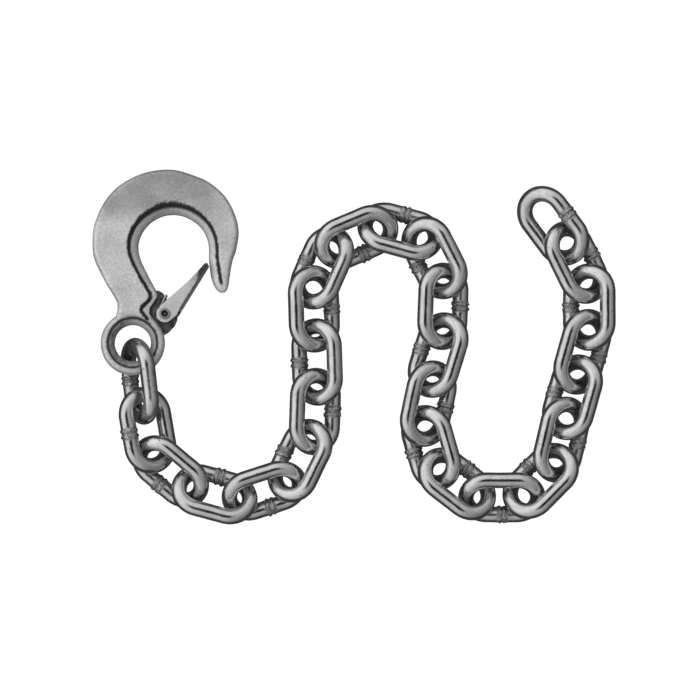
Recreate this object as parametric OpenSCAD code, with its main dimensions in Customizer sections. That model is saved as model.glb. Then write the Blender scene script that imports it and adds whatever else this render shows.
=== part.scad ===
// Safety chain hook: an eye slip hook with a spring latch on a run of welded chain.
// Millimetres. X to the right, Y away, Z up. The chain lies on the plane Z = 0.
// The origin is under the middle of the laid out hook and chain.

/* [Chain] */
// Inside length of one link
inside_length = 35; // [30:0.5:40]
// Inside width of one link
inside_width = 16; // [14:0.5:18]
// Diameter of the wire
wire = 10; // [8:0.1:11]
// Lean of a lying link about its long axis, degrees
lean = 32; // [30:0.5:36]
// Largest radius of a weld bead
weld_r = 5.7; // [5.2:0.1:6]
// Length of a weld bead along the wire
weld_len = 9; // [6:0.5:12]

/* [Lay of the chain] */
// Direction of the first link, degrees from X
first_heading = -84; // [-120:1:-60]
// Position of the far bow of the first link from the eye, X
first_x = 7.5; // [0:0.5:15]
// Position of the far bow of the first link from the eye, Y
first_y = -46; // [-60:0.5:-30]
// Turn from each link to the next, degrees, left is positive
turns = [
  4, 40, 25, 33, 46, 24, 4, 0, -26, -43, -38, -48, -29,
  -15, 5, 28, 36, 38, 45, 32, -3, 0, 16, 26, 11
];
// How far each pair of bows overlaps, from rod centre to rod centre
laps = [
  14, 12.75, 13, 11.75, 12.25, 12, 14, 11.75, 17.5, 13.25, 14.75, 14.25, 12.75,
  14, 14, 16, 15.25, 13, 15.25, 14.5, 17.5, 16, 16.25, 14.75, 17.75
];
// How far each pair of bows sits off the line between them, left is positive
shifts = [
  -0.5, -0.75, 0.25, 1.25, -0.25, -1.75, -1.25, 0.75, 0, -1.5, 1.75, 0.5, -1.25,
  2, 1.75, 0.75, 0.75, 1, 0.5, 1, 0, 1.75, -0.25, 1.5, 0.5
];
// Height of the middle of a lying link
lie_height = 14; // [12:0.1:15]
// Height given up per degree of turn, so that a bent pair still clears
bend_lift = 0.064; // [0:0.001:0.1]
// Lean of the first link, which stands on edge through the eye
first_lean = 60; // [45:1:80]
// Fall of the first link from the eye to the chain, degrees
first_fall = 6; // [0:0.5:20]
// Extra height of the far bow of the first link
first_rise = 2; // [0:0.1:3]
// Sideways play taken up by the first link, along X
first_shift = -1; // [-3:0.1:3]

/* [Placement] */
// Centre of the eye of the hook, X
eye_x = -137.9; // [-160:0.1:0]
// Centre of the eye of the hook, Y
eye_y = 2.2; // [-20:0.1:20]

/* [Hook] */
// Height of the centre of the eye
eye_height = 18.3; // [15:0.1:25]
// Slope of the hook down to the crown of the bowl, degrees
hook_slope = 4.4; // [0:0.1:8]
// Radius of the hole in the eye
eye_r = 11.2; // [10:0.1:13]
// Outer radius of the eye
eye_outer_r = 20; // [18:0.5:23]
// Half of the thickness of the eye
eye_half = 5.6; // [5:0.1:7]
// Width of the bevel round the inside of the bowl
bevel = 5; // [3:0.1:6]
// Depth of that bevel as a share of the half thickness
bevel_share = 0.5; // [0.2:0.05:0.8]
// Chamfer round the outside of the bowl
outer_chamfer = 2.4; // [1:0.1:4]
// Half of the thickness of the lug
lug_half = 3; // [2:0.1:4]

/* [Latch] */
// Pivot position on the hook, X
pivot_x = 20.3; // [18:0.1:23]
// Pivot position on the hook, Y
pivot_y = 17.8; // [15:0.1:21]
// Radius of the pivot pin
pin_r = 2.5; // [2:0.1:3]
// Radius of a pin head
head_r = 3.4; // [3:0.1:4]
// Radius of an ear of the latch
ear_r = 5.3; // [4:0.1:6]
// Distance from the middle to the inside of an ear
ear_in = 6.6; // [5:0.1:8]
// Thickness of the sheet
sheet = 1.6; // [1:0.1:2]
// Radius of the spring wire
spring_r = 0.6; // [0.4:0.05:0.8]
// Radius of the spring coil to the middle of the wire
coil_r = 3.7; // [3.4:0.1:4.5]

/* [Hidden] */
turned_fn = 72;
rod_fn = 48;
bar_fn = 24;

// ---- Shared helpers ----

function raise(point, z) = [point[0], point[1], z];

function reversed(list) = [for (k = [len(list) - 1:-1:0]) list[k]];

// Half a profile, closed by its mirror image across the first axis
function mirrored(points) = concat(points, [for (p = reversed(points)) [p[0], -p[1]]]);

// Solid skinned over rings of equal size; flip turns the faces over for rings wound the other way
module loft(rings, flip = false) {
  size = len(rings[0]);
  last = len(rings) - 1;
  sides = [for (i = [0:last - 1], j = [0:size - 1])
    let (here = i * size, ahead = here + size, next = (j + 1) % size)
    each [[here + j, here + next, ahead + next], [here + j, ahead + next, ahead + j]]];
  start_cap = [for (j = [size - 1:-1:0]) j];
  end_cap = [for (j = [0:size - 1]) last * size + j];
  faces = concat(sides, [start_cap], [end_cap]);
  polyhedron(
    points = [for (ring = rings) each ring],
    faces = [for (face = faces) flip ? reversed(face) : face]);
}

// ---- Chain ----

bow_span = inside_length + wire;       // between the rod centres of the two bows
bow_r = inside_width / 2 + wire / 2;   // radius of a bow to the rod centre
straight_half = bow_span / 2 - bow_r;  // half of a straight side
link_count = len(turns) + 1;

// Half of the weld bead profile: radius, place along the wire
weld_profile = [
  [0, -weld_len / 2],
  [wire / 2 - 0.05, -weld_len / 2],
  [weld_r - 0.25, -weld_len / 3],
  [weld_r, -weld_len / 8]
];

// Links are counted from 0 at the eye. Bows are placed in plan from the centre of the eye.
function direction(angle) = [cos(angle), sin(angle)];
function heading(i) = i == 0 ? first_heading : heading(i - 1) + turns[i - 1];
function joint_direction(i) =
  let (sum = direction(heading(i - 1)) + direction(heading(i))) sum / norm(sum);
function near_bow(i) =
  let (along = joint_direction(i), left = [-along[1], along[0]])
  far_bow(i - 1) - laps[i - 1] * along + shifts[i - 1] * left;
function far_bow(i) =
  i == 0 ? [first_x, first_y] : near_bow(i) + bow_span * direction(heading(i));

// Every second link leans the other way
function lean_side(i) = i % 2 == 0 ? 1 : -1;
function mean_turn(i) = (turns[i - 1] + turns[min(i, link_count - 2)]) / 2;
function link_z(i) = lie_height - lean_side(i) * bend_lift * mean_turn(i) / 2;
function link_middle(i) =
  raise(far_bow(i) - bow_span / 2 * direction(heading(i)), link_z(i));

// The far bow of the first link is placed and its middle follows from its fall
first_far = [first_x + first_shift, first_y, lie_height + first_rise];
first_direction = raise(cos(first_fall) * direction(first_heading), -sin(first_fall));
first_middle = first_far - bow_span / 2 * first_direction;

// One welded link about its middle: long axis on X, flat in XY.
// weld_side is 1 for a weld on the +Y side and -1 for the -Y side.
module link(weld_side) {
  for (s = [1, -1]) {
    translate([s * straight_half, 0, 0])
      rotate([0, 0, s > 0 ? -90 : 90])
        rotate_extrude(angle = 180, $fn = turned_fn)
          translate([bow_r, 0]) circle(d = wire, $fn = rod_fn);
    translate([-straight_half, s * bow_r, 0])
      rotate([0, 90, 0]) cylinder(d = wire, h = 2 * straight_half, $fn = rod_fn);
  }
  translate([0, weld_side * bow_r, 0])
    rotate([0, 90, 0])
      rotate_extrude($fn = rod_fn) polygon(mirrored(weld_profile));
}

// A link in its place in the run
module lying_link(i) {
  side = lean_side(i);
  // The second and last links carry the weld on the opposite side to their rule
  weld_side = i == 1 || i == link_count - 1 ? -1 : -side;
  color([0.72, 0.73, 0.75]) translate([eye_x, eye_y, 0])
    if (i == 0)
      translate(first_middle)
        rotate([0, 0, first_heading])
          rotate([0, first_fall, 0])
            rotate([first_lean, 0, 0]) link(weld_side);
    else
      translate(link_middle(i))
        rotate([0, 0, heading(i)])
          rotate([side * lean, 0, 0]) link(weld_side);
}

// ---- Hook: drawn flat with the eye at the origin and the crown towards +Y ----

module place_hook() {
  translate([eye_x, eye_y, eye_height]) rotate([-hook_slope, 0, 0]) children();
}

// Sections across the hook from the eye, round the bowl, to the tip.
// Each row: inner edge X Y, outer edge X Y, half thickness.
stations = [
  [14.5, 3.0, -13.0, 11.0, 6.3],
  [14.0, 11.5, -10.3, 18.0, 7.4],
  [11.0, 19.5, -9.6, 24.0, 8.6],
  [12.3, 28.5, -11.3, 28.5, 9.0],
  [13.4, 35.0, -15.4, 34.8, 9.3],
  [10.6, 40.0, -18.4, 40.4, 9.5],
  [7.4, 46.3, -21.4, 46.2, 9.7],
  [4.6, 52.5, -24.0, 52.3, 9.9],
  [3.2, 58.5, -25.2, 58.5, 10.0],
  [3.6, 64.0, -24.8, 71.5, 10.0],
  [5.9, 69.5, -20.3, 84.2, 10.0],
  [9.4, 74.0, -12.4, 95.5, 10.0],
  [13.9, 77.4, -1.1, 103.4, 10.0],
  [19.3, 79.8, 11.6, 107.8, 10.0],
  [24.9, 80.6, 24.9, 108.6, 10.0],
  [30.8, 79.7, 37.4, 105.3, 10.0],
  [36.1, 77.3, 48.7, 99.7, 9.9],
  [40.8, 73.6, 57.8, 91.3, 9.7],
  [44.2, 69.2, 63.4, 80.6, 9.3],
  [46.3, 64.1, 65.8, 69.4, 8.8],
  [47.2, 58.4, 64.2, 58.6, 8.3],
  [47.2, 53.4, 62.2, 52.8, 7.9],
  [47.7, 47.8, 61.0, 47.2, 7.5],
  [48.6, 41.6, 60.1, 41.0, 7.1],
  [49.9, 37.2, 59.5, 36.6, 6.6],
  [51.8, 33.8, 58.6, 33.5, 5.4],
  [54.0, 31.9, 57.1, 31.9, 3.6]
];
station_steps = 2;          // sections made per gap between stations
bevel_limit = 0.42;         // largest bevel as a share of the section width
chamfer_width_limit = 0.25; // largest chamfer as a share of the section width
chamfer_depth_limit = 0.5;  // and as a share of the half thickness

// Half of the eye ring profile: radius, z
eye_profile = [
  [eye_r - 1, -3.5], [15.4, -eye_half], [17.6, -eye_half], [19.3, -4.6], [eye_outer_r, -2.6]
];
// Half of the cut for the hole of the eye, opened out to both faces: radius, z
eye_cut = [[0, -13], [23.8, -13], [eye_r, -2.5]];
// Lug that carries the latch: X, Y
lug_outline = [
  [9, 29], [15.5, 33.2], [18.6, 31.4], [21.7, 27], [26.6, 19.5],
  [27.9, 15], [26.2, 10.8], [22, 6.4], [17, 4], [12, 6]
];
pin_hole_play = 0.02;
pin_hole_extra = 1; // reach of the hole cutter past each face of the lug

// Catmull-Rom curve through the stations, part of the way from station k to the next
function station(k) = stations[max(0, min(len(stations) - 1, k))];
function between(k, part) =
  let (before = station(k - 1), from = station(k), to = station(k + 1), after = station(k + 2))
  0.5 * (2 * from + (to - before) * part
    + (2 * before - 5 * from + 4 * to - after) * part * part
    + (3 * from - before - 3 * to + after) * part * part * part);

// Eight corners of a section, bevelled at the inner edge and chamfered at the outer
function section_ring(row) = let (
  inner = [row[0], row[1]],
  outer = [row[2], row[3]],
  width = norm(outer - inner),
  across = (outer - inner) / width,
  depth = row[4],
  bevel_width = min(bevel, width * bevel_limit),
  bevel_depth = depth * bevel_share,
  chamfer = min(outer_chamfer, width * chamfer_width_limit, depth * chamfer_depth_limit),
  half_profile = [
    [0, bevel_depth - depth], [bevel_width, -depth],
    [width - chamfer, -depth], [width, chamfer - depth]
  ])
  [for (p = mirrored(half_profile)) raise(inner + across * p[0], p[1])];

module bowl() {
  rows = concat(
    [for (k = [0:len(stations) - 2], j = [0:station_steps - 1]) between(k, j / station_steps)],
    [stations[len(stations) - 1]]);
  loft([for (row = rows) section_ring(row)], flip = true);
}

module hook_body() {
  color([0.66, 0.67, 0.68]) place_hook() difference() {
    union() {
      bowl();
      rotate_extrude($fn = turned_fn) polygon(mirrored(eye_profile));
      translate([0, 0, -lug_half]) linear_extrude(height = 2 * lug_half) polygon(lug_outline);
    }
    rotate_extrude($fn = turned_fn) polygon(mirrored(eye_cut));
    translate([pivot_x, pivot_y, -lug_half - pin_hole_extra])
      cylinder(r = pin_r + pin_hole_play, h = 2 * (lug_half + pin_hole_extra), $fn = rod_fn);
  }
}

// ---- Latch, in the frame of the flat hook ----

ear_out = ear_in + sheet; // from the middle to the outside of an ear
ear_play = 0.1;           // round the pin and under its heads
// Outlines: X, Y. The nose ends both the flanks and the web.
nose = [[45.2, 49.6], [46.8, 49.5], [47.1, 48.6]];
flank_outline = concat(
  [[16.6, 21.6], [22.1, 27.2], [35.8, 39.4]], nose, [[29.6, 20.0], [27.6, 16.9], [23.9, 13.9]]);
web_outline = concat(nose, [[30.9, 22.1], [29.5, 23.0], [45.0, 48.3]]);

// Flank of the latch: an ear round the pin that runs out to a narrow nose
module flank(z) {
  translate([0, 0, z]) linear_extrude(height = sheet) difference() {
    union() {
      translate([pivot_x, pivot_y]) circle(r = ear_r, $fn = rod_fn);
      polygon(flank_outline);
    }
    translate([pivot_x, pivot_y]) circle(r = pin_r + ear_play, $fn = rod_fn);
  }
}

module latch() {
  color([0.76, 0.77, 0.78]) place_hook() {
    flank(ear_in);
    flank(-ear_out);
    // web that joins the two flanks along the edge away from the bowl
    translate([0, 0, -ear_in - sheet / 2])
      linear_extrude(height = 2 * ear_in + sheet) polygon(web_outline);
  }
}

// Pin with a bevelled head and a round recess at each end
module latch_pin() {
  shank_reach = 0.5; // past the outside of each ear
  rim = 0.6;         // height of the straight part of a head
  head_bevel = 0.6;
  bevel_height = 0.5;
  recess_r = 1.8;
  recess_start = ear_out - 0.6;
  recess_cut = 3;
  color([0.8, 0.8, 0.81]) place_hook() translate([pivot_x, pivot_y, 0]) difference() {
    union() {
      cylinder(r = pin_r, h = 2 * (ear_out + shank_reach), center = true, $fn = rod_fn);
      for (s = [1, -1]) scale([1, 1, s]) translate([0, 0, ear_out + ear_play]) {
        cylinder(r = head_r, h = rim, $fn = rod_fn);
        translate([0, 0, rim])
          cylinder(r1 = head_r, r2 = head_r - head_bevel, h = bevel_height, $fn = rod_fn);
      }
    }
    for (s = [1, -1]) scale([1, 1, s])
      translate([0, 0, recess_start]) cylinder(r = recess_r, h = recess_cut, $fn = rod_fn);
  }
}

// Wire along a level or gently rising path
module wire_along(path) {
  sides = 8;
  last = len(path) - 1;
  loft([for (i = [0:last])
    let (
      along = path[min(i + 1, last)] - path[max(i - 1, 0)],
      across = [along[1], -along[0], 0] / norm([along[0], along[1]]))
    [for (j = [0:sides - 1])
      let (angle = 360 * j / sides)
      path[i] + spring_r * (cos(angle) * across + [0, 0, sin(angle)])]]);
}

// Two coils, one each side of the lug, joined by a bar past the bowl side of the lug
module latch_spring() {
  pivot = [pivot_x, pivot_y];
  bar = [20.85, 29.9];
  bar_length = 8.6;
  coil_z = 3.75;
  coil_rise = 2;
  coil_sweep = 500;
  coil_steps = 26;
  toe_z = coil_z + coil_rise;
  arm = [raise(bar - [0.1, 0.2], coil_z), raise(bar - [3.6, 7.5], coil_z)];
  coil = [for (j = [0:coil_steps])
    raise(pivot + coil_r * direction(180 + j * coil_sweep / coil_steps),
      coil_z + coil_rise * j / coil_steps)];
  toe = [raise(pivot + [5.7, 1.8], toe_z), raise(pivot + [10.5, 9.2], toe_z)];
  color([0.55, 0.56, 0.58]) place_hook() {
    for (s = [1, -1]) scale([1, 1, s]) wire_along(concat(arm, coil, toe));
    translate(raise(bar, 0)) cylinder(r = spring_r, h = bar_length, center = true, $fn = bar_fn);
  }
}

// ---- Nodes ----

module link_01() { lying_link(0); }
module link_02() { lying_link(1); }
module link_03() { lying_link(2); }
module link_04() { lying_link(3); }
module link_05() { lying_link(4); }
module link_06() { lying_link(5); }
module link_07() { lying_link(6); }
module link_08() { lying_link(7); }
module link_09() { lying_link(8); }
module link_10() { lying_link(9); }
module link_11() { lying_link(10); }
module link_12() { lying_link(11); }
module link_13() { lying_link(12); }
module link_14() { lying_link(13); }
module link_15() { lying_link(14); }
module link_16() { lying_link(15); }
module link_17() { lying_link(16); }
module link_18() { lying_link(17); }
module link_19() { lying_link(18); }
module link_20() { lying_link(19); }
module link_21() { lying_link(20); }
module link_22() { lying_link(21); }
module link_23() { lying_link(22); }
module link_24() { lying_link(23); }
module link_25() { lying_link(24); }
module link_26() { lying_link(25); }

hook_body();
latch();
latch_pin();
latch_spring();
link_01();
link_02();
link_03();
link_04();
link_05();
link_06();
link_07();
link_08();
link_09();
link_10();
link_11();
link_12();
link_13();
link_14();
link_15();
link_16();
link_17();
link_18();
link_19();
link_20();
link_21();
link_22();
link_23();
link_24();
link_25();
link_26();
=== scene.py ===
"""Looks for the safety chain hook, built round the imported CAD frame.

Scene units are metres, +Z up. Everything lies flat: the hook's eye is near the -X end, its bowl
reaches towards +Y, and the chain leaves the eye towards -Y and winds away towards +X.
Dimensions are in millimetres and are scaled by MM where a mesh or a pose is made.
"""

import math
import random

import bmesh
import bpy
import numpy as np
from mathutils import Matrix, Vector


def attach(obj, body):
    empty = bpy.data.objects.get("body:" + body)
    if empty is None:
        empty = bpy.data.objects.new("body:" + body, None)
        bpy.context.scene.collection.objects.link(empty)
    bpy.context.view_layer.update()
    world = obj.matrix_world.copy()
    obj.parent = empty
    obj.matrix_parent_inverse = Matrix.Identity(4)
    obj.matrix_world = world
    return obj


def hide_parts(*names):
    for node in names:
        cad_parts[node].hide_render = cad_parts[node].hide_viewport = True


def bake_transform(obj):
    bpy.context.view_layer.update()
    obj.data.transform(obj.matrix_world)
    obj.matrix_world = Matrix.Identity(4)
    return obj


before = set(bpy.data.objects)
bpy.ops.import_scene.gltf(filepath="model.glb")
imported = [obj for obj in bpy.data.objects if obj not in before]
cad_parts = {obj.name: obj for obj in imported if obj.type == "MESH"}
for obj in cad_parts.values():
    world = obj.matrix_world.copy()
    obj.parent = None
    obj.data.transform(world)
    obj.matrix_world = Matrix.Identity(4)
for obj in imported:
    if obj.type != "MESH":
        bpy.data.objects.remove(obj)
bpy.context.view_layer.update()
MM = 0.001

# ---------------------------------------------------------------- the lay of the hook and chain
EYE = np.array([-137.9, 2.2, 18.3])  # centre of the hook's eye
HOOK_SLOPE = math.radians(-4.4)  # the bowl dips below the eye
HOOK_POSE = Matrix.Translation(Vector(EYE * MM)) @ Matrix.Rotation(HOOK_SLOPE, 4, "X")

# One value for each joint between links: turn of heading in degrees (positive is anticlockwise),
# overlap of the two links, and sideways shift of the second.
TURNS = [4, 40, 25, 33, 46, 24, 4, 0, -26, -43, -38, -48, -29,
         -15, 5, 28, 36, 38, 45, 32, -3, 0, 16, 26, 11]
LAPS = [14, 12.75, 13, 11.75, 12.25, 12, 14, 11.75, 17.5, 13.25, 14.75, 14.25, 12.75,
        14, 14, 16, 15.25, 13, 15.25, 14.5, 17.5, 16, 16.25, 14.75, 17.75]
SHIFTS = [-0.5, -0.75, 0.25, 1.25, -0.25, -1.75, -1.25, 0.75, 0, -1.5, 1.75, 0.5, -1.25,
          2, 1.75, 0.75, 0.75, 1, 0.5, 1, 0, 1.75, -0.25, 1.5, 0.5]
LINKS = len(TURNS) + 1

WIRE_R = 5.0
BOW = 13.0  # radius of the bows, to the middle of the wire
STRAIGHT = 9.5  # half length of the straight legs
HALF = STRAIGHT + BOW  # half length of the link's centre line
RUN = 2 * HALF

FIRST_HEADING = -84.0
FIRST_FAR = np.array([7.5, -46.0])  # far end that the chain is laid from, measured from the eye
FIRST_END = np.array([6.5, -46.0])  # far end of the first link itself
FIRST_PITCH, FIRST_ROLL = math.radians(6), math.radians(60)
LIE = 14.0  # height of the middle of a link
FIRST_RISE = 2  # the first link hangs this much higher
LIFT = 0.064  # change of height per degree of turn
LEAN = 32.0  # roll of a link, to one side and the other in turn


def unit(deg):
    return np.array([math.cos(math.radians(deg)), math.sin(math.radians(deg))])


def link_poses():
    """Pose of each link. In its own frame a link has its length on X and its legs at +Y and -Y."""
    headings = np.cumsum([FIRST_HEADING, *TURNS])
    far = FIRST_FAR
    poses = []
    for i, heading in enumerate(headings):
        yaw = Matrix.Rotation(math.radians(heading), 3, "Z")
        if i == 0:
            pitch = Matrix.Rotation(FIRST_PITCH, 3, "Y")
            turned = yaw @ pitch @ Matrix.Rotation(FIRST_ROLL, 3, "X")
            middle = np.array([*FIRST_END, LIE + FIRST_RISE]) - HALF * np.array(turned.col[0])
        else:
            along = unit(headings[i - 1]) + unit(heading)
            along = along / np.linalg.norm(along)
            across = np.array([-along[1], along[0]])
            far = far - LAPS[i - 1] * along + SHIFTS[i - 1] * across + RUN * unit(heading)
            side = 1 if i % 2 == 0 else -1
            turned = yaw @ Matrix.Rotation(math.radians(side * LEAN), 3, "X")
            mean_turn = (TURNS[i - 1] + TURNS[min(i, LINKS - 2)]) / 2
            middle = np.array([*(far - HALF * unit(heading)), LIE - side * LIFT * mean_turn / 2])
        middle = middle + np.array([EYE[0], EYE[1], 0])
        poses.append(Matrix.Translation(Vector(middle * MM)) @ turned.to_4x4())
    return poses


# ---------------------------------------------------------------- mesh helpers
def place_object(name, mesh):
    ob = bpy.data.objects.new(name, mesh)
    bpy.context.scene.collection.objects.link(ob)
    return ob


def bmesh_object(name, bm):
    mesh = bpy.data.meshes.new(name)
    bm.to_mesh(mesh)
    bm.free()
    return place_object(name, mesh)


def shade_smooth(mesh):
    mesh.polygons.foreach_set("use_smooth", [True] * len(mesh.polygons))


def new_object(name, verts, faces, smooth=True):
    """Object from vertices in metres."""
    mesh = bpy.data.meshes.new(name)
    mesh.from_pydata([tuple(v) for v in verts], [], [tuple(f) for f in faces])
    mesh.validate()
    mesh.update()
    if smooth:
        shade_smooth(mesh)
    return place_object(name, mesh)


def fix_normals(ob):
    bm = bmesh.new()
    bm.from_mesh(ob.data)
    bmesh.ops.recalc_face_normals(bm, faces=bm.faces)
    bm.to_mesh(ob.data)
    bm.free()


def modify(ob, kind, **settings):
    """Add one modifier and apply it."""
    modifier = ob.modifiers.new(kind.lower(), kind)
    for key, value in settings.items():
        setattr(modifier, key, value)
    bpy.context.view_layer.update()
    graph = bpy.context.evaluated_depsgraph_get()
    mesh = bpy.data.meshes.new_from_object(ob.evaluated_get(graph))
    ob.modifiers.clear()
    old = ob.data
    ob.data = mesh
    bpy.data.meshes.remove(old)


def voxel(ob, size):
    modify(ob, "REMESH", mode="VOXEL", voxel_size=size * MM, use_smooth_shade=True)


def relax(ob, times):
    modify(ob, "SMOOTH", iterations=times, factor=0.5)


def cut(ob, cutter):
    modify(ob, "BOOLEAN", operation="DIFFERENCE", solver="EXACT", object=cutter)
    bpy.data.objects.remove(cutter)


def join(parts, name):
    bm = bmesh.new()
    for part in parts:
        bm.from_mesh(part.data)
    for part in parts:
        bpy.data.objects.remove(part)
    return bmesh_object(name, bm)


def read_vectors(ob, key):
    values = np.zeros(len(ob.data.vertices) * 3)
    ob.data.vertices.foreach_get(key, values)
    return values.reshape(-1, 3)


def read_points(ob):
    """Vertex places in mm."""
    return read_vectors(ob, "co") / MM


def write_points(ob, points):
    ob.data.vertices.foreach_set("co", (points * MM).astype(np.float32).ravel())
    ob.data.update()


def set_attr(ob, name, values):
    attribute = ob.data.attributes.new(name, "FLOAT", "POINT")
    attribute.data.foreach_set("value", np.asarray(values, np.float32))


def dress(ob, material, piece):
    """Give the object its material, and hide the CAD piece it stands for."""
    ob.data.materials.clear()
    ob.data.materials.append(material)
    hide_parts(piece)


def mirrored(upper, middle=()):
    """Whole (r, z) profile from its part above z = 0 and any points at z = 0."""
    return [(r, -z) for r, z in reversed(upper)] + list(middle) + list(upper)


def lathe(name, profile, around, centre=(0, 0)):
    """Solid of revolution about Z from (r, z) points in mm; points at r = 0 close the ends."""
    verts, faces, rings = [], [], []
    cx, cy = centre[0] * MM, centre[1] * MM
    for r, z in profile:
        r, z = r * MM, z * MM
        count = around if r > 0 else 1
        rings.append(list(range(len(verts), len(verts) + count)))
        for k in range(count):
            a = 2 * math.pi * k / around
            verts.append((r * math.cos(a) + cx, r * math.sin(a) + cy, z))
    pairs = list(zip(rings, rings[1:]))
    if profile[0][0] > 0 and profile[-1][0] > 0:
        pairs.append((rings[-1], rings[0]))
    for a, b in pairs:
        for k in range(around):
            k2 = k + 1
            face = [a[k % len(a)], a[k2 % len(a)], b[k2 % len(b)], b[k % len(b)]]
            face = list(dict.fromkeys(face))
            if len(face) > 2:
                faces.append(face)
    return new_object(name, verts, faces)


def prism(outline, z0, z1, name):
    """Outline of (x, y) points in mm, raised from z0 to z1."""
    bm = bmesh.new()
    low = [bm.verts.new((x * MM, y * MM, z0 * MM)) for x, y in outline]
    high = [bm.verts.new((x * MM, y * MM, z1 * MM)) for x, y in outline]
    bm.faces.new(low[::-1])
    bm.faces.new(high)
    for k in range(len(outline)):
        k2 = (k + 1) % len(outline)
        bm.faces.new((low[k], low[k2], high[k2], high[k]))
    bmesh.ops.recalc_face_normals(bm, faces=bm.faces)
    bmesh.ops.triangulate(bm, faces=bm.faces)
    return bmesh_object(name, bm)


# ---------------------------------------------------------------- fields over points in mm
def waves(seed, size):
    """Smooth random field: sines in random directions at about the given wavelength."""
    count = 26
    rnd = random.Random(seed)
    directions, phases = [], []
    for _ in range(count):
        v = Vector((rnd.gauss(0, 1), rnd.gauss(0, 1), rnd.gauss(0, 1))).normalized()
        directions.append((v * (2 * math.pi / (size * rnd.uniform(0.6, 1.7))))[:])
        phases.append(rnd.uniform(0, 2 * math.pi))
    directions, phases = np.array(directions), np.array(phases)
    return lambda p: np.sin(p @ directions.T + phases).sum(1) / math.sqrt(count / 2)


def bell(x, width, power=2):
    """1 at x = 0, falling off either way; a higher power gives a flatter top."""
    return np.exp(-(np.abs(x / width) ** power))


def near(distance, width, level):
    """Full strength close to a line, fading to nothing at level * width from it."""
    return np.clip(level - distance / width, 0, 1)


def smoothstep(x, start, end):
    t = np.clip((x - start) / (end - start), 0, 1)
    return t * t * (3 - 2 * t)


def nearest_on(points, line):
    """Distance from each point to a polyline in the plane, and the place along it."""
    line = np.asarray(line)
    best = np.full(len(points), 1e9)
    where = np.zeros(len(points))
    run = 0.0
    for a, b in zip(line, line[1:]):
        d = b - a
        length = math.hypot(*d)
        if length < 1e-6:
            continue
        t = np.clip(((points - a) @ d) / length ** 2, 0, 1)
        dist = np.linalg.norm(points - (a + t[:, None] * d), axis=1)
        closer = dist < best
        best[closer] = dist[closer]
        where[closer] = run + t[closer] * length
        run += length
    return best, where


# ---------------------------------------------------------------- materials
class NodeNet:
    """Emptied node tree of a material or world. Input values that are sockets become links."""

    def __init__(self, owner):
        owner.use_nodes = True
        self.tree = owner.node_tree
        self.tree.nodes.clear()

    def add(self, kind, inputs=None, **settings):
        node = self.tree.nodes.new("ShaderNode" + kind)
        for key, value in settings.items():
            setattr(node, key, value)
        for key, value in (inputs or {}).items():
            if isinstance(value, bpy.types.NodeSocket):
                self.tree.links.new(value, node.inputs[key])
            else:
                node.inputs[key].default_value = value
        return node

    def noise(self, vector, scale, detail, roughness=None):
        inputs = {"Vector": vector, "Scale": scale, "Detail": detail}
        if roughness is not None:
            inputs["Roughness"] = roughness
        return self.add("TexNoise", inputs).outputs["Fac"]

    def ramp(self, factor, *stops, interpolation="LINEAR"):
        """Grey ramp through (position, grey) stops."""
        node = self.add("ValToRGB", {"Fac": factor})
        node.color_ramp.interpolation = interpolation
        elements = node.color_ramp.elements
        while len(elements) < len(stops):
            elements.new(0.5)
        for element, (position, grey) in zip(elements, stops):
            element.position = position
            element.color = (grey, grey, grey, 1)
        return node.outputs["Color"]

    def mix(self, factor, first, second, blend="MIX"):
        inputs = {"Fac": factor, "Color1": first, "Color2": second}
        return self.add("MixRGB", inputs, blend_type=blend).outputs["Color"]

    def multiply(self, first, second, factor=1.0):
        return self.mix(factor, first, second, blend="MULTIPLY")

    def math(self, operation, *values):
        return self.add("Math", dict(enumerate(values)), operation=operation).outputs[0]

    def map_range(self, value, source, target):
        inputs = {"Value": value, "From Min": source[0], "From Max": source[1],
                  "To Min": target[0], "To Max": target[1]}
        return self.add("MapRange", inputs).outputs["Result"]

    def attribute(self, name):
        return self.add("Attribute", attribute_name=name).outputs["Fac"]

    def mix_shader(self, factor, first, second):
        return self.add("MixShader", {"Fac": factor, 1: first, 2: second}).outputs[0]


def wire_streaks(net):
    """Noise drawn out along the wire, from its own length and angle."""
    parts = [net.attribute(key) for key in ("wire_s", "wire_c", "wire_n")]
    along = net.add("CombineXYZ", dict(enumerate(parts))).outputs[0]
    return net.noise(along, scale=2.6, detail=7, roughness=0.68)


def add_pits(net, place, colour, share):
    """Dark spots on a share of the cells of a Voronoi texture."""
    cells = net.add("TexVoronoi", {"Vector": place, "Scale": 330, "Randomness": 1.0})
    spot = net.ramp(cells.outputs["Distance"], (0.10, 1.0), (0.17, 0.0))
    random_value = net.add("SeparateColor", {0: cells.outputs["Color"]}).outputs[0]
    chosen = net.math("LESS_THAN", random_value, share)
    return net.mix(net.math("MULTIPLY", spot, chosen), colour, (0.06, 0.06, 0.06, 1))


def add_shade(net, colour):
    """Darken by the shade attribute (painted shade), and lighten the sharp corners: partly wear,
    partly a painted highlight.
    """
    colour = net.multiply(colour, net.math("SUBTRACT", 1.0, net.attribute("shade")))
    pointed = net.add("NewGeometry").outputs["Pointiness"]
    # painted highlight, partly wear: the sharp corners turn towards pale grey
    wear_and_highlight = net.ramp(pointed, (0.52, 0.0), (0.60, 1.0))
    return net.mix(net.math("MULTIPLY", wear_and_highlight, 0.5), colour, (0.86, 0.86, 0.86, 1))


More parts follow.
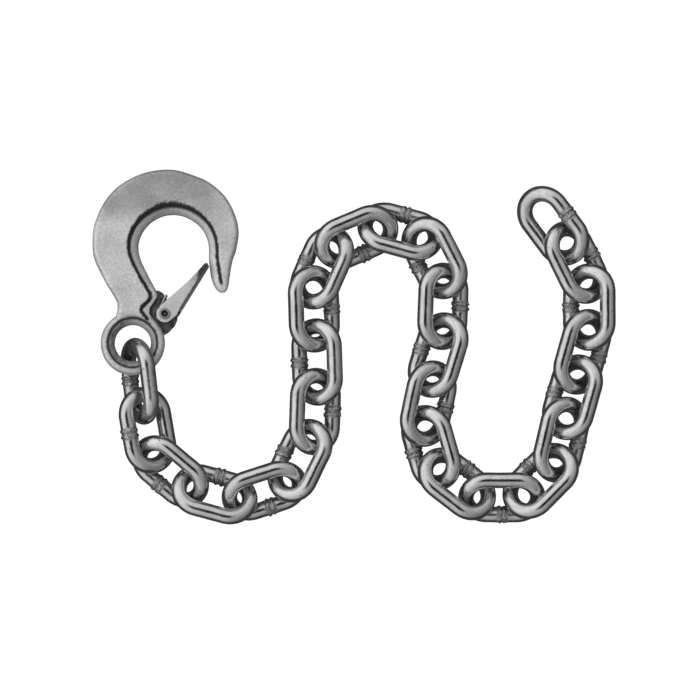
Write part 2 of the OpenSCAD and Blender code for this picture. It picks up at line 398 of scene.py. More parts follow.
def add_weld_scale_and_painted_shade(net, place, colour, roughness, normal, grey):
    """Rough dark tone where the attribute is high: weld scale on the chain, painted shade on the
    hook, latch and pin.
    """
    amount = net.attribute("weld")
    crust = net.noise(place, scale=900, detail=4)
    tone = net.ramp(crust, (0.35, grey * 0.45), (0.65, grey * 1.5))
    colour = net.mix(amount, colour, tone)
    roughness = net.math("MULTIPLY_ADD", amount, 0.3, roughness)
    relief = {"Distance": 0.0005, "Strength": amount, "Height": crust, "Normal": normal}
    return colour, roughness, net.add("Bump", relief).outputs["Normal"]


def steel(name, *, light, dark, rough, rough_spread, bump, grain, scratch, metallic=1.0,
          mottle=112, sand=0.0, pit=0.0, drawn=0.0, shade=False, weld=None):
    """Plated or forged steel.

    light, dark: greys of the broad mottling, of noise scale mottle
    rough, rough_spread: middle roughness and how far the mottling moves it
    bump, grain: strength of the surface relief and noise scale of its grain
    scratch, sand, drawn: strength of the scratches, sandy mottling and streaks along the wire
    pit: share of cells with a dark pit
    shade: whether the shade attribute (painted shade) and the corners lightened by a painted
    highlight are used
    weld: grey of the dark tone where that attribute is high (weld scale on
    the chain, painted shade on the hook, latch and pin), None for no such tone
    """
    mat = bpy.data.materials.new(name)
    net = NodeNet(mat)
    place = net.add("TexCoord").outputs["Object"]
    broad = net.noise(place, scale=mottle, detail=6, roughness=0.62)
    fine = net.noise(place, scale=grain, detail=5, roughness=0.7)
    tone = net.ramp(broad, (0.3, dark), (0.7, light))
    pores = net.ramp(fine, (0.30, 0.62), (0.48, 1.0))
    colour = net.multiply(tone, pores, factor=0.55)
    if sand:
        # mottling about a millimetre across
        grit = net.noise(place, scale=700, detail=2)
        colour = net.multiply(colour, net.ramp(grit, (0.36, 1 - sand), (0.64, 1 + sand * 0.7)))
    if drawn:
        streaks = wire_streaks(net)
        tone = net.ramp(streaks, (0.32, 1 - drawn * 1.6), (0.5, 1.0), (0.7, 1 + drawn * 0.5))
        colour = net.multiply(colour, tone)
    if pit:
        colour = add_pits(net, place, colour, pit)
    if shade:
        colour = add_shade(net, colour)

    # scratches: stretched noise, thin and sparse
    stretch = {"Vector": place, "Rotation": (0.3, 0.6, 0.8), "Scale": (1.0, 9.0, 1.0)}
    stretched = net.add("Mapping", stretch).outputs["Vector"]
    scratches = net.ramp(net.noise(stretched, scale=260, detail=3), (0.60, 0.0), (0.68, 1.0))

    roughness = net.map_range(broad, source=(0.25, 0.75),
                              target=(rough - rough_spread, rough + rough_spread))
    roughness = net.math("MULTIPLY_ADD", scratches, 0.12 * scratch, roughness)
    if drawn:
        offset = net.math("SUBTRACT", streaks, 0.5)
        roughness = net.math("MULTIPLY_ADD", offset, 0.22, roughness)
    height = net.math("MULTIPLY_ADD", scratches, -0.25 * scratch, fine)
    relief = {"Strength": bump, "Distance": 0.0002, "Height": height}
    normal = net.add("Bump", relief).outputs["Normal"]
    if weld is not None:
        colour, roughness, normal = add_weld_scale_and_painted_shade(net, place, colour, roughness, normal, grey=weld)
    surface = net.add("BsdfPrincipled", {"Base Color": colour, "Roughness": roughness,
                                         "Metallic": metallic, "Normal": normal})
    net.add("OutputMaterial", {0: surface.outputs[0]})
    return mat


CHAIN = steel("chain_steel", light=0.68, dark=0.52, rough=0.19, rough_spread=0.05, bump=0.14,
              grain=1500, scratch=0.5, pit=0.12, drawn=0.16, weld=0.34)
# hook, latch and pin: the last grey given is the colour of their painted shade
FORGED = steel("hook_steel", light=0.90, dark=0.80, rough=0.50, rough_spread=0.06, bump=0.4,
               grain=1100, scratch=0.3, metallic=0.40, mottle=72, sand=0.13, shade=True,
               weld=0.05)
SHEET = steel("latch_sheet", light=0.90, dark=0.80, rough=0.40, rough_spread=0.05, bump=0.2,
              grain=1400, scratch=0.8, metallic=0.4, sand=0.08, shade=True, weld=0.05)
PIN = steel("pin_steel", light=0.40, dark=0.26, rough=0.36, rough_spread=0.05, bump=0.3,
            grain=1500, scratch=0.5, weld=0.02)
SPRING = steel("spring_wire", light=0.80, dark=0.62, rough=0.28, rough_spread=0.05, bump=0.2,
               grain=1800, scratch=0.3)

# ---------------------------------------------------------------- links
BOW_STEPS, LEG_STEPS, AROUND = 44, 60, 48
# links whose weld passes close by the next link when they swing
LOW_WELD = (8, 9, 20, 21, 22)
# which leg carries the weld: 1 for +Y, -1 for -Y
WELD_SIDE = [-1 if i % 2 == 0 or i in (1, 25) else 1 for i in range(LINKS)]
GROUND = 0.02  # lowest height of any point of a link


def link_path():
    """Centre line of a link, from the middle of the +Y leg towards -X and round.

    Columns: x, y, outward normal x, y, side of the leg (0 on the bows), place along the leg.
    """
    def leg(side, start, end, steps):
        xs = [start + (end - start) * k / steps for k in range(steps)]
        return [(x, side * BOW, 0, side, side, x) for x in xs]

    def bow(end, start):
        turns = [start + math.pi * k / BOW_STEPS for k in range(BOW_STEPS)]
        normals = [(math.cos(a), math.sin(a)) for a in turns]
        return [(end * STRAIGHT + BOW * c, BOW * s, c, s, 0, 0) for c, s in normals]

    return np.array(
        leg(1, 0, -STRAIGHT, LEG_STEPS // 2) + bow(-1, math.pi / 2)
        + leg(-1, -STRAIGHT, STRAIGHT, LEG_STEPS) + bow(1, -math.pi / 2)
        + leg(1, STRAIGHT, 0, LEG_STEPS // 2))


PATH = link_path()
STEPS = len(PATH)
FLAT = np.zeros((STEPS, 1))
CENTRE = np.hstack([PATH[:, 0:2], FLAT])
OUTWARD = np.hstack([PATH[:, 2:4], FLAT])
ANGLE = np.arange(AROUND) * 2 * math.pi / AROUND


def link_surface(i):
    """Points of the wire in the link's own frame, in mm, and the tone of its weld."""
    rnd = random.Random(100 + i)
    offset = rnd.uniform(-0.5, 0.5)
    ring_1, ring_2 = rnd.uniform(0.62, 0.9), rnd.uniform(0.5, 0.8)  # heights of the collars
    gap = rnd.uniform(1.35, 1.75)  # from the seam to each collar
    skew = rnd.uniform(-0.45, 0.45)

    radial = (OUTWARD[:, None, :] * np.cos(ANGLE)[None, :, None]
              + np.array([0, 0, 1.0]) * np.sin(ANGLE)[None, :, None])
    even = (CENTRE[:, None, :] + WIRE_R * radial).reshape(-1, 3)

    def field(seed, size):
        return waves(seed + i, size)(even).reshape(STEPS, AROUND)

    # drawn wire: slow waviness and fine unevenness
    radius = WIRE_R - 0.055 + 0.030 * field(900, 16) + 0.010 * field(1500, 2.2)

    # weld: the wire swells towards a cleft seam between two ragged collars
    s = PATH[:, 5][:, None] - offset - skew * np.sin(ANGLE)[None, :]
    on = (PATH[:, 4] == WELD_SIDE[i])[:, None]
    rag, fine_rag = field(2100, 2.6), field(2700, 0.95)
    swell = 0.20 * bell(s, width=3.8)
    collars = (ring_1 * bell(s + gap + 0.25 * rag, width=0.85, power=2.6)
               + ring_2 * bell(s - gap - 0.25 * rag, width=0.8, power=2.6))
    cleft = -0.22 * bell(s, width=0.55)
    ragged = np.clip(0.78 + 0.30 * rag + 0.20 * fine_rag, 0.1, 1.35)
    crust = 0.05 * fine_rag * bell(s, width=4.2, power=4)
    radius = radius + on * (swell + collars * ragged * 0.85 + cleft + crust)
    radius = np.minimum(radius, 6.1)
    if i in LOW_WELD:
        radius = np.where(radius > WIRE_R, WIRE_R + 0.65 * (radius - WIRE_R), radius)

    # dark over the weld, at the seam and beyond each collar, with a faint wide halo
    tone = on * np.clip(0.55 * bell(s, width=3.6, power=4) + 0.75 * bell(s, width=0.7)
                        + 0.45 * bell(np.abs(s) - gap - 1.5, width=0.6)
                        + 0.15 * bell(s, width=7.5), 0, 1)
    points = (CENTRE[:, None, :] + radius[:, :, None] * radial).reshape(-1, 3)
    return points, tone.ravel()


def length_from_weld(i):
    """Length along the centre line from the weld, the same both ways round."""
    steps = np.linalg.norm(np.diff(np.vstack([CENTRE, CENTRE[:1]]), axis=0), axis=1)
    length = np.concatenate([[0], np.cumsum(steps)[:-1]])
    if WELD_SIDE[i] < 0:
        length = (length + steps.sum() / 2) % steps.sum()
    return np.minimum(length, steps.sum() - length)


def make_link(i, pose):
    points, weld = link_surface(i)
    k, j = np.meshgrid(np.arange(STEPS), np.arange(AROUND), indexing="ij")
    here, ahead = k * AROUND, (k + 1) % STEPS * AROUND
    j2 = (j + 1) % AROUND
    quads = np.stack([here + j, ahead + j, ahead + j2, here + j2], -1).reshape(-1, 4)
    piece = "link_%02d" % (i + 1)
    ob = new_object(piece + "_steel", (points * MM).tolist(), quads.tolist())
    ob.data.transform(pose)
    # the weld collars rest on the ground
    placed = read_points(ob)
    placed[:, 2] = np.maximum(placed[:, 2], GROUND)
    write_points(ob, placed)
    fix_normals(ob)
    set_attr(ob, "weld", weld)
    # streak coordinates: the step of 7.3 gives each link its own streaks
    set_attr(ob, "wire_s", np.repeat(length_from_weld(i), AROUND) * 0.06 + i * 7.3)
    set_attr(ob, "wire_c", np.tile(np.cos(ANGLE), STEPS) * 1.6)
    set_attr(ob, "wire_n", np.tile(np.sin(ANGLE), STEPS) * 1.6)
    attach(ob, piece)
    dress(ob, CHAIN, piece)


for index, link_pose in enumerate(link_poses()):
    make_link(index, link_pose)

# ---------------------------------------------------------------- hook body
# In the hook's own frame, mm: the eye is centred on the origin with its hole along Z.
# Stations from the shank round the bowl to the tip. Columns: x, y of the inner edge, x, y of
# the back, half thickness, width of the band inside the cheek line, and how flat that band
# stays before it drops.
STATIONS = [
    (14.5, 3.0, -13.0, 11.0, 6.3, 4.0, 1), (14.0, 11.5, -10.3, 18.0, 7.4, 3.4, 1),
    (11.0, 19.5, -9.6, 24.0, 8.6, 5.4, 1), (15.4, 28.0, -11.3, 28.5, 9.0, 3.9, 0.9),
    (13.4, 35.0, -15.4, 34.8, 9.3, 4.8, 0.35), (10.6, 40.0, -18.4, 40.4, 9.5, 5.0, 0),
    (7.4, 46.3, -21.4, 46.2, 9.7, 5.1, 0), (4.6, 52.5, -24.0, 52.3, 9.9, 5.2, 0),
    (3.2, 58.5, -25.2, 58.5, 10.0, 5.2, 0), (3.6, 64.0, -24.8, 71.5, 10.0, 5.2, 0),
    (5.9, 69.5, -20.3, 84.2, 10.0, 5.1, 0), (9.4, 74.0, -12.4, 95.5, 10.0, 5.0, 0),
    (13.9, 77.4, -1.1, 103.4, 10.0, 4.8, 0), (19.3, 79.8, 11.6, 107.8, 10.0, 4.7, 0),
    (24.9, 80.6, 24.9, 108.6, 10.0, 4.6, 0), (30.8, 79.7, 37.4, 105.3, 10.0, 4.7, 0),
    (36.1, 77.3, 48.7, 99.7, 9.9, 4.8, 0), (40.8, 73.6, 57.8, 91.3, 9.7, 4.9, 0),
    (44.2, 69.2, 63.4, 80.6, 9.3, 5.1, 0), (46.3, 64.1, 65.8, 69.4, 8.8, 5.2, 0),
    (47.2, 58.4, 64.2, 58.6, 8.3, 5.1, 0), (47.2, 53.4, 62.2, 52.8, 7.9, 5.3, 0),
    (47.7, 47.8, 61.0, 47.2, 7.5, 5.5, 0), (48.6, 41.6, 60.1, 41.0, 7.1, 5.6, 0),
    (49.9, 37.2, 59.5, 36.6, 6.6, 5.2, 0), (51.8, 33.8, 58.6, 33.5, 5.4, 4.4, 0),
    (54.0, 31.9, 57.1, 31.9, 3.6, 2.1, 0),
]
STATION_STEPS = 8
BAND_SHARE = 0.72  # the band takes at most this share of the section's width
CHEEK_START = 10  # interpolated station where the cheek line starts

# Parts of the half section; heights are shares of the half thickness.
# Band: distance from the inner edge at full width, height if sloped, height if flat.
BAND_WIDTH = 5.2
BAND = [(0.0, 0.0, 0.0), (0.12, 0.16, 0.30), (0.5, 0.31, 0.50), (1.2, 0.44, 0.585),
        (2.2, 0.545, 0.62), (3.3, 0.62, 0.645), (4.3, 0.67, 0.66)]
# Cheek step: distance past the band, height.
CHEEK = [(-0.35, 0.655), (0, 0.66), (0.3, 0.74), (0.5, 0.87), (0.85, 0.955), (1.4, 0.992),
         (2.0, 1.0)]
CHEEK_WIDTH = CHEEK[-1][0]
# Rounded back: distance past the back edge, height.
BACK = [(-3.3, 1.0), (-2.2, 0.978), (-1.1, 0.89), (-0.45, 0.73), (-0.12, 0.45), (0, 0.12),
        (0.22, 0.03)]
BACK_WIDTH = -BACK[0][0]

# Upper halves of the (r, z) profiles of the eye ring and of the stepped hole cut through it
EYE_RING = [(20.0, 0.8), (19.7, 3.2), (18.8, 4.9), (17.4, 5.6), (15.0, 5.5), (13.6, 5.0),
            (10.4, 3.0)]
EYE_RING_R = 20.12
EYE_HOLE = [(11.9, 2.0), (13.4, 3.6), (15.1, 4.4), (15.5, 5.2), (16.4, 6.6), (23.0, 13), (0, 13)]
EYE_HOLE_R = 11.25
# Lug that carries the latch pin: outline in x, y, and the line where it meets the body
LUG = [(9, 29), (15.5, 33.2), (18.6, 31.4), (21.7, 27), (26.6, 19.5), (27.9, 15), (26.2, 10.8),
       (22, 6.4), (17, 4), (12, 6)]
LUG_HALF = 3.0
LUG_FOOT = [(18.8, 6.2), (16.8, 10.0), (14.1, 14.4), (11.2, 18.6), (11.4, 21.4), (15.6, 27.6)]
PIVOT = (20.3, 17.8)  # axis of the latch
BODY_VOXEL = 0.42
BOWL_CENTRE = np.array([24.9, 58.3])
MARK = np.array([59.0, 78.9])  # round sunk mark on the +Z side
MARK_R = 5.0


def stations():
    """Stations filled in by a Catmull-Rom curve."""
    s = [np.array(row) for row in STATIONS]
    out = []
    for k in range(len(s) - 1):
        p0, p1, p2, p3 = s[max(k - 1, 0)], s[k], s[k + 1], s[min(k + 2, len(s) - 1)]
        for j in range(STATION_STEPS):
            t = j / STATION_STEPS
            out.append(0.5 * (2 * p1 + (p2 - p0) * t + (2 * p0 - 5 * p1 + 4 * p2 - p3) * t * t
                              + (3 * p1 - p0 - 3 * p2 + p3) * t ** 3))
    out.append(s[-1])
    return out


def hook_section(width, half_height, band, flat):
    """Half section from the inner edge over the cheek to the back.

    Points are (distance from the inner edge, height).
    """
    band = min(band, width * BAND_SHARE)
    k = band / BAND_WIDTH
    inner = [(u * k, (a + (c - a) * flat) * half_height) for u, a, c in BAND]
    # the step and the rounding shrink where the section is narrow
    step = min(1.0, (width - band) / 4.2)
    cheek = [(band + u * step, z * half_height) for u, z in CHEEK]
    cheek_end = band + CHEEK_WIDTH * step
    rounding = min(1.0, (width - band - CHEEK_WIDTH * step) / 3.4)
    span = width - BACK_WIDTH * rounding - cheek_end
    top = [(cheek_end + span * q, half_height) for q in (0.25, 0.5, 0.75)]
    back = [(width + u * rounding, z * half_height) for u, z in BACK]
    return inner + cheek + top + back


def cheek_line(sections):
    """Line where the cheek steps down to the inner band, in the plane of the hook."""
    out = []
    for s in sections:
        inner, back = s[:2], s[2:4]
        width = np.linalg.norm(back - inner)
        out.append(inner + (back - inner) / width * (min(s[5], width * BAND_SHARE) + 0.3))
    return np.array(out)


def make_bowl(sections):
    """Shank and bowl, skinned over the sections."""
    rings = []
    for s in sections:
        inner, back = s[:2], s[2:4]
        width = float(np.linalg.norm(back - inner))
        ex, ey = (back - inner) / width
        half = hook_section(width, float(s[4]), float(s[5]), float(np.clip(s[6], 0, 1)))
        loop = half + [(u, -z) for u, z in reversed(half[1:])]
        rings.append([(inner[0] + ex * u, inner[1] + ey * u, z) for u, z in loop])
    n = len(rings[0])
    verts = [tuple(c * MM for c in p) for ring in rings for p in ring]
    faces = [(i * n + j, (i + 1) * n + j, (i + 1) * n + (j + 1) % n, i * n + (j + 1) % n)
             for i in range(len(rings) - 1) for j in range(n)]
    faces.append(tuple(range(n)))
    faces.append(tuple((len(rings) - 1) * n + j for j in range(n - 1, -1, -1)))
    ob = new_object("bowl_tmp", verts, faces)
    fix_normals(ob)
    return ob


def pivot_hole(radius, half_length):
    """Cutter along the latch axis."""
    profile = mirrored([(radius, half_length), (0, half_length)])
    ob = lathe("hole_tmp", profile, around=48, centre=PIVOT)
    fix_normals(ob)
    return ob


def hook_form(sections):
    """Smooth body: bowl, eye ring and lug fused, with the eye and pin holes cut."""
    bowl = make_bowl(sections)
    eye = lathe("eye_tmp", mirrored(EYE_RING, [(EYE_RING_R, 0)]), around=144)
    fix_normals(eye)
    lug = prism(LUG, -LUG_HALF, LUG_HALF, "lug_tmp")
    ob = join([bowl, eye, lug], "hook_body_forged")
    voxel(ob, BODY_VOXEL)
    cutter = lathe("cut_tmp", mirrored(EYE_HOLE, [(EYE_HOLE_R, 0)]), around=144)
    fix_normals(cutter)
    cut(ob, cutter)
    cut(ob, pivot_hole(radius=2.52, half_length=4))
    voxel(ob, BODY_VOXEL)
    relax(ob, 2)
    fix_normals(ob)
    return ob


def forge_marks(points, cheek):
    """Forge scale, the ragged trim line, and painted shade.

    Returns how far each point moves out, its painted shade in the grooves, bevels, edges and lug
    pocket, its other painted shade without the crown, and how fully it lies on a flat side.
    """
    x, y, z = points.T
    thick = np.abs(z)
    flat = points[:, :2]
    r = np.linalg.norm(flat, axis=1)
    dist, where = nearest_on(flat, cheek)
    cheek_length = np.linalg.norm(np.diff(cheek, axis=0), axis=1).sum()
    face = smoothstep(thick, 3.5, 4.6)
    rag = waves(31, 2.6)(points) * 0.55 + waves(32, 1.5)(points) * 0.35
    slow = waves(33, 3.4)(points)

    # painted shade in the trim groove: wider and more ragged round the far side of the bowl,
    # ending before the tip
    from_bowl = flat - BOWL_CENTRE
    in_bowl = np.linalg.norm(from_bowl, axis=1) < 26.6
    turn = np.degrees(np.arctan2(from_bowl[:, 1], from_bowl[:, 0]))
    top = bell(turn - 98, width=44)
    width = (1.15 + 0.24 * np.clip(rag, -1, 1.5)
             + top * (1.35 + 0.55 * np.clip(rag, -1.2, 1.6)))
    to_tip = 1 - smoothstep(where, cheek_length - 6.0, cheek_length - 3.0)
    groove_shade = near(1.6 * dist, np.maximum(width, 0.2), level=2.1) * face * to_tip
    groove_shade = np.where(in_bowl, groove_shade * near(dist, 1.3, level=1.4), groove_shade)

    # painted shade in the step of the eye and on its bevel, darker towards -X
    eye_step_shade = near(np.abs(r - 15.4), 0.9 + 0.2 * np.clip(rag, -1, 1), level=1.5)
    dark = np.maximum(groove_shade, eye_step_shade * 0.95)
    bevel_shade = 0.22 + 0.46 * smoothstep(-x / np.maximum(r, 1), -0.4, 0.7)
    dark = np.maximum(dark, bevel_shade * (1 + 0.12 * slow) * smoothstep(15.4 - r, 0, 0.6))

    # painted shade on the edges at mid thickness, in the bowl and round the back, but not at the
    # tip
    off_tip = np.where(x > 45, smoothstep(y, 34, 42), 1.0)
    dark = np.maximum(dark, 0.5 * (1 - smoothstep(thick, 1.6, 3.4)) * (r > 20.5) * off_tip)

    # painted shade on the faces and foot of the lug, in the pocket and the crease
    pocket_shade = (thick < 3.6) & (x > 9) & (x < 32) & (y > 3) & (y < 34) & (r > 20.2)
    dark = np.maximum(dark, pocket_shade * (0.93 + 0.05 * slow))
    foot_shade = near(nearest_on(flat, LUG_FOOT)[0], 0.9, level=1.5)
    dark = np.maximum(dark, foot_shade * (thick < 5.6) * (r > 19.6))

    sunk = (near(dist, np.maximum(width * 0.8, 0.2), level=1.2) * face
            * (0.10 + 0.16 * top) * to_tip)
    from_mark = np.linalg.norm(flat - MARK, axis=1)
    mark = 0.16 * smoothstep(MARK_R - from_mark, 0, 0.7) * (z > 5)
    scale = (0.012 * waves(41, 4.2)(points) + 0.012 * waves(42, 1.8)(points)
             + 0.07 * waves(43, 19)(points))
    # painted shade on the bowl beside the trim line, and on the rim of the eye ring
    line_shade = 0.38 * np.exp(-dist / 2.6) * in_bowl
    eye_rim_shade = 0.15 * smoothstep(21.0 - r, 0, 1.6)
    return scale - sunk - mark, dark, line_shade + eye_rim_shade, face


def make_hook():
    sections = stations()
    ob = hook_form(sections)
    points = read_points(ob)
    out, dark, shade, face = forge_marks(points, cheek_line(sections[CHEEK_START:]))
    points = points + read_vectors(ob, "normal") * out[:, None]
    write_points(ob, points)
    # painted shade in the grooves, bevels, edges and lug pocket, in the attribute that also holds
    # the chain's weld scale
    set_attr(ob, "weld", np.clip(dark, 0, 1))
    # painted shade: the crown of the bowl is darker than the shank
    x, y = points[:, 0], points[:, 1]
    crown_shade = 0.46 * smoothstep(y, 66, 96) * (1 - 0.75 * smoothstep(x, 38, 60)) * face
    set_attr(ob, "shade", np.clip(crown_shade + shade + 0.045 * waves(51, 18)(points), 0, 1))
    ob.data.transform(HOOK_POSE)
    shade_smooth(ob.data)
    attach(ob, "hook")
    dress(ob, FORGED, "hook_body")


make_hook()

# ---------------------------------------------------------------- latch, pin and spring
EAR_R = 5.3
EAR_IN = 6.6  # height of the inner face of each cheek of the latch
SHEET_T = 1.6
EAR_OUT = EAR_IN + SHEET_T
# outline of each cheek of the latch, x, y
BLADE = [(16.6, 21.6), (22.1, 27.2), (35.8, 39.4), (45.2, 49.6), (46.8, 49.5), (47.1, 48.6),
         (29.6, 20.0), (27.6, 16.9), (23.9, 13.9)]
# the web joins the cheeks along their long outer edge
WEB = BLADE[3:6] + [(30.9, 22.1), (29.5, 23.0), (45.0, 48.3)]
FOLD = [BLADE[6], BLADE[5]]
STOP = np.array([29.0, 18.6])  # stop at the pivot end of the web, painted black there as shade
# half profile of the hollow rivet: radius, height above the sheet
RIVET = [(2.5, 0.08), (3.2, 0.1), (3.4, 0.3), (3.4, 0.7), (3.2, 1.0), (2.75, 1.18), (2.35, 1.15),
         (2.05, 0.95), (1.9, 0.4), (1.8, -0.9), (1.5, -1.25), (1.1, -1.2), (0.75, -0.75),
         (0.4, -0.45), (0, -0.38)]


def make_latch():
    turns = [2 * math.pi * k / 64 for k in range(64)]
    ear = [(PIVOT[0] + EAR_R * math.cos(a), PIVOT[1] + EAR_R * math.sin(a)) for a in turns]
    parts = []
    for z in (EAR_IN, -EAR_IN - SHEET_T):
        parts.append(prism(BLADE, z, z + SHEET_T, "blade_tmp"))
        parts.append(prism(ear, z, z + SHEET_T, "ear_tmp"))
    parts.append(prism(WEB, -EAR_IN - SHEET_T / 2, EAR_IN + SHEET_T / 2, "web_tmp"))
    ob = join(parts, "latch_folded_sheet")
    voxel(ob, 0.28)
    cut(ob, pivot_hole(radius=2.6, half_length=10))
    relax(ob, 3)

    points = read_points(ob)
    flat = points[:, :2]
    edge = nearest_on(flat, FOLD)[0]
    far = (flat - np.array(PIVOT)) @ np.array([0.66, 0.75])  # distance towards the free end
    inside = np.abs(points[:, 2]) < 6.9
    # painted shade, darker towards the free end of the latch
    shade = 0.34 * smoothstep(far, 14, 38) + 0.03 * waves(62, 5)(points)
    set_attr(ob, "shade", np.clip(shade, 0, 1))
    # painted shade: a dark line along the fold, widening towards the free end
    dark = near(edge, 0.6 + 0.06 * waves(61, 3.0)(points), level=1.9) * 0.92
    reach = 1.6 + 2.1 * smoothstep(far, 26, 38)
    dark = np.maximum(dark, 0.97 * smoothstep(far, 26, 33) * smoothstep(reach - edge, -0.5, 0.7))
    # painted shade: dark inside the fold, less dark on the outside of the web that catches the
    # light, and black at the stop
    dark = np.where(inside, np.where(edge < 0.9, 0.04, 0.55), dark)
    stop_r = np.where(inside, 2.2, 1.3)
    from_stop = np.linalg.norm(flat - STOP, axis=1)
    dark = np.maximum(dark, 0.95 * smoothstep(stop_r - from_stop, 0, 0.7))
    set_attr(ob, "weld", np.clip(dark, 0, 1))
    ob.data.transform(HOOK_POSE)
    fix_normals(ob)
    shade_smooth(ob.data)
    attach(ob, "latch")
    dress(ob, SHEET, "latch")


def make_pin():
    profile = mirrored([(r, EAR_OUT + z) for r, z in RIVET])
    ob = lathe("latch_rivet", profile, around=64, centre=PIVOT)
    points = read_points(ob)
    r = np.linalg.norm(points[:, :2] - np.array(PIVOT), axis=1)
    # painted shade in the hollow, darkest towards its wall
    hollow_shade = near(np.abs(r - 1.55), 0.5, level=1.35)
    set_attr(ob, "weld", hollow_shade * (np.abs(points[:, 2]) < EAR_OUT + 0.75))
    ob.data.transform(HOOK_POSE)
    fix_normals(ob)
    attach(ob, "hook")
    dress(ob, PIN, "latch_pin")


def tube(path, radius, sides):
    """Round tube along a smooth path, with parallel frames and closed ends."""
    m = len(path)
    tangents = [(path[min(i + 1, m - 1)] - path[max(i - 1, 0)]).normalized() for i in range(m)]
    normal = tangents[0].orthogonal().normalized()
    verts, faces = [], []
    for point, tangent in zip(path, tangents):
        normal = (normal - tangent * normal.dot(tangent)).normalized()
        binormal = tangent.cross(normal)
        for j in range(sides):
            a = 2 * math.pi * j / sides
            verts.append(point + radius * (math.cos(a) * normal + math.sin(a) * binormal))
    for i in range(m - 1):
        here, ahead = i * sides, (i + 1) * sides
        for j in range(sides):
            j2 = (j + 1) % sides
            faces.append((here + j, here + j2, ahead + j2, ahead + j))
    faces.append(tuple(range(sides))[::-1])
    faces.append(tuple((m - 1) * sides + j for j in range(sides)))
    return verts, faces


def rounded(points, radius, steps=6):
    """Polyline with its corners rounded by short quadratic curves."""
    pts = [Vector(p) for p in points]
    out = [pts[0]]
    for a, b, c in zip(pts, pts[1:], pts[2:]):
        d1, d2 = (a - b), (c - b)
        r = min(radius, d1.length * 0.45, d2.length * 0.45)
        p, q = b + d1.normalized() * r, b + d2.normalized() * r
        for k in range(steps + 1):
            t = k / steps
            out.append((1 - t) ** 2 * p + 2 * t * (1 - t) * b + t * t * q)
    out.append(pts[-1])
    return out


BAR = (20.85, 29.9)  # cross bar of the spring
COIL_R = 3.7
COIL_Z = 3.75  # height where the coil starts
COIL_RISE = 2.0  # rise over COIL_SWEEP degrees
COIL_SWEEP = 500
SPRING_WIRE_R = 0.6


def spring_path():
    """Upper half of the spring: half the bar, the leg to the coil, the coil and the toe."""
    lead = rounded([(BAR[0], BAR[1], 0.0), (BAR[0] - 0.05, BAR[1] - 0.1, COIL_Z),
                    (BAR[0] - 3.6, BAR[1] - 7.5, COIL_Z)], radius=0.9)
    coil = []
    for a in range(190, 681, 8):
        turn = math.radians(a)
        coil.append(Vector((PIVOT[0] + COIL_R * math.cos(turn), PIVOT[1] + COIL_R * math.sin(turn),
                            COIL_Z + COIL_RISE * (a - 180) / COIL_SWEEP)))
    toe_z = COIL_Z + COIL_RISE
    toe = [Vector((PIVOT[0] + x, PIVOT[1] + y, toe_z)) for x, y in ((5.7, 1.8), (10.5, 9.2))]
    return lead + coil + toe


def make_spring():
    """Two halves, above and below, that meet in the middle of the bar.
    """
    path = spring_path()
    for sign, name in ((1, "latch_spring_wire"), (-1, "latch_spring_wire_lower")):
        half = [Vector((p.x, p.y, sign * p.z)) * MM for p in path]
        ob = new_object(name, *tube(half, SPRING_WIRE_R * MM, sides=14))
        ob.data.transform(HOOK_POSE)
        fix_normals(ob)
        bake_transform(ob)
        dress(ob, SPRING, "latch_spring")


make_latch()
make_pin()
make_spring()

# ---------------------------------------------------------------- floor, light, camera (metres)
# the floor lies below the reach of the chain, so that a length swung down at a joint's limit
# stays in sight
FLOOR_Z = -0.3
FLOOR_HALF = 6
BACKDROP = 1.12  # brightness the camera sees, on the floor and past its edge
CAMERA_HEIGHT = 2.0
VIEW_WIDTH = 0.4375  # width in view at VIEW_HEIGHT
VIEW_HEIGHT = 0.016


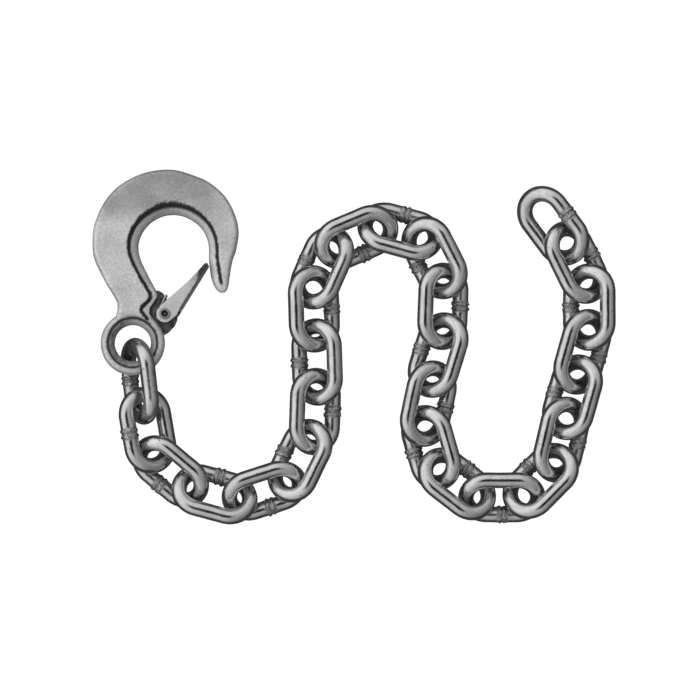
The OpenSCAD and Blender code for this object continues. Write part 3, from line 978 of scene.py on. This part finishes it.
def make_floor():
    """Pale and glowing to the camera, dark to everything else, and clear from beneath."""
    corners = [(x * FLOOR_HALF, y * FLOOR_HALF, FLOOR_Z)
               for x, y in ((-1, -1), (1, -1), (1, 1), (-1, 1))]
    ob = new_object("floor", corners, [(0, 1, 2, 3)], smooth=False)
    mat = bpy.data.materials.new("floor")
    net = NodeNet(mat)
    dark = net.add("BsdfDiffuse", {"Color": (0.10, 0.10, 0.10, 1)}).outputs[0]
    pale = net.add("BsdfDiffuse", {"Color": (0.9, 0.9, 0.9, 1)}).outputs[0]
    glow = net.add("Emission", {"Strength": BACKDROP}).outputs[0]
    seen = net.mix_shader(0.9, pale, glow)
    above = net.mix_shader(net.add("LightPath").outputs["Is Camera Ray"], dark, seen)
    clear = net.add("BsdfTransparent").outputs[0]
    beneath = net.add("NewGeometry").outputs["Backfacing"]
    net.add("OutputMaterial", {0: net.mix_shader(beneath, above, clear)})
    ob.data.materials.append(mat)


def make_world():
    world = bpy.data.worlds.new("studio")
    bpy.context.scene.world = world
    net = NodeNet(world)
    direction = net.add("TexCoord").outputs["Generated"]
    # brightness by height: dark low down, a bright band, dark overhead where the camera is
    height = net.add("SeparateXYZ", {0: direction}).outputs["Z"]
    band = net.ramp(height, (0.0, 0.10), (0.08, 0.25), (0.25, 0.85), (0.55, 1.0), (0.905, 1.0),
                    (0.968, 0.03), (1.0, 0.0), interpolation="EASE")
    # the room is brighter towards -X and +Y
    side = net.add("VectorMath", {1: (-0.80, 0.45, 0.0)}, operation="DOT_PRODUCT")
    net.tree.links.new(direction, side.inputs[0])
    tilt = net.map_range(side.outputs["Value"], source=(-0.8, 0.8), target=(0.32, 1.25))
    strength = net.math("MULTIPLY", net.math("MULTIPLY", band, tilt), 1.25)
    room = net.add("Background", {"Strength": strength}).outputs[0]
    # past the edge of the floor the camera sees the same pale tone, with no horizon
    plain = net.add("Background", {"Strength": BACKDROP, "Color": (1, 1, 1, 1)}).outputs[0]
    camera_ray = net.add("LightPath").outputs["Is Camera Ray"]
    net.add("OutputWorld", {0: net.mix_shader(camera_ray, room, plain)})


def make_camera():
    """Camera looking straight down."""
    data = bpy.data.cameras.new("camera")
    camera = place_object("camera", data)
    camera.location = (-0.0024, -0.0020, CAMERA_HEIGHT)
    data.sensor_fit = "HORIZONTAL"
    data.angle = 2 * math.atan(0.5 * VIEW_WIDTH / (CAMERA_HEIGHT - VIEW_HEIGHT))
    data.clip_start = 0.01
    bpy.context.scene.camera = camera


make_floor()
make_world()
make_camera()
view = bpy.context.scene.view_settings
view.view_transform = "Standard"
view.look = "None"
